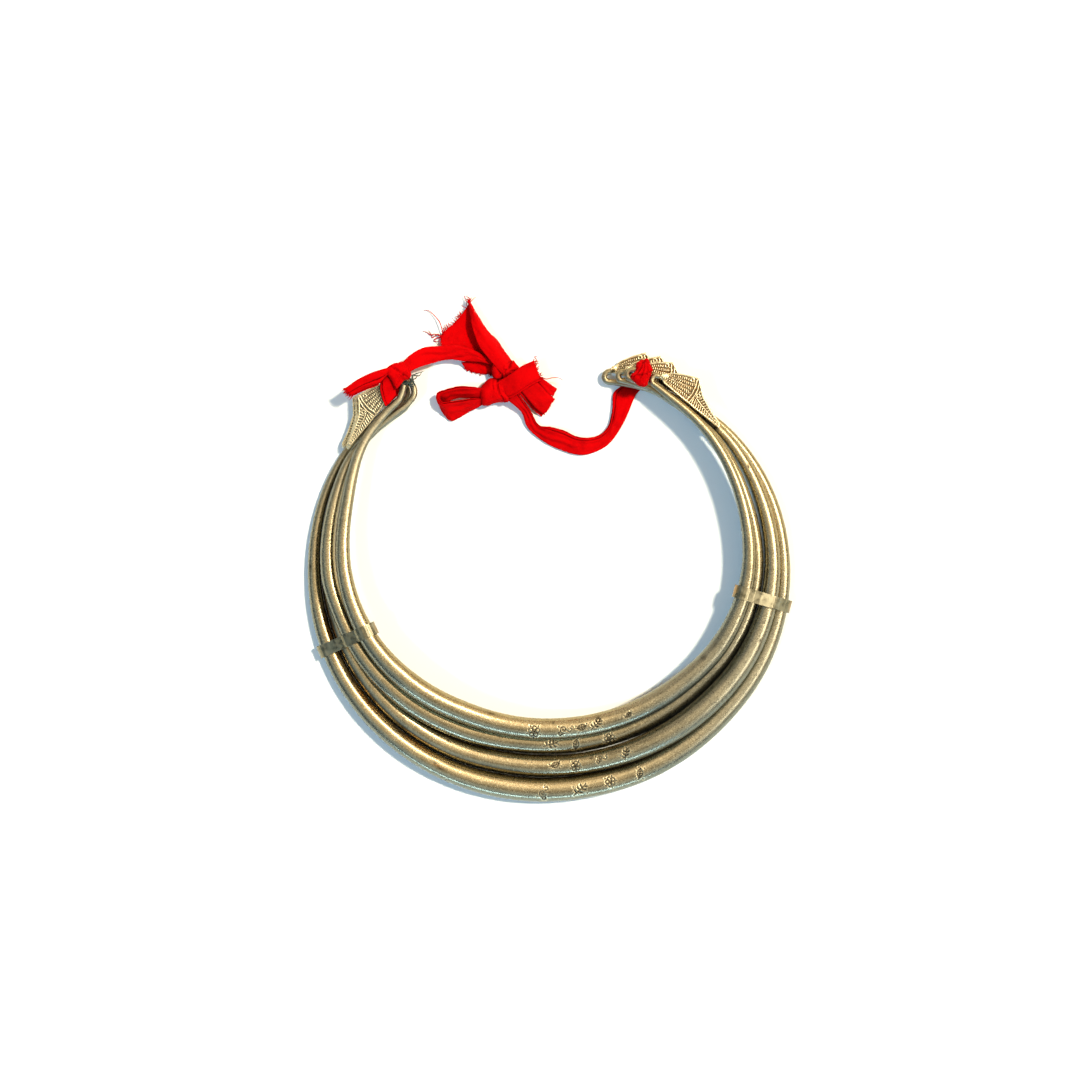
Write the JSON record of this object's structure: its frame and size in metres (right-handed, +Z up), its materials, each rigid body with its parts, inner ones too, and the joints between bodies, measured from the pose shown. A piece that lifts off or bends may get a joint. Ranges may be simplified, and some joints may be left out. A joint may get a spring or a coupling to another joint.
{
  "type": "choker",
  "caption": "Nested rigid neck rings of hollow silver tube with stamped leaf ends, wrapped clips and a knotted cloth tie.",
  "frame": {"origin": "bottom centre of the whole object as it lies on the table", "axes": "+X to the viewer's right, +Y towards the opening and the tie at the back of the neck, +Z up from the table"},
  "size_m": [0.178, 0.1834, 0.0182],
  "materials": {
    "old_silver": "worn hand-burnished silver, warm with tarnish and fine cracks",
    "clip_strip": "thin cut metal strip, lightly worn",
    "red_cloth": "torn plain-weave cotton, matt, with frayed edges"
  },
  "bodies": {
    "root": {"outer_ring": "old_silver", "second_ring": "old_silver", "third_ring": "old_silver", "inner_ring": "old_silver", "left_clip": "clip_strip", "right_clip": "clip_strip", "left_loop": "red_cloth", "left_knot": "red_cloth", "left_tail": "red_cloth", "left_strip": "red_cloth", "wide_end": "red_cloth", "under_flap": "red_cloth", "upper_knot": "red_cloth", "lower_knot": "red_cloth", "bow_loop": "red_cloth", "folded_end": "red_cloth", "upper_tail": "red_cloth", "lower_tail": "red_cloth", "right_strip": "red_cloth", "stopper_tuft": "red_cloth"}
  },
  "joints": []
}
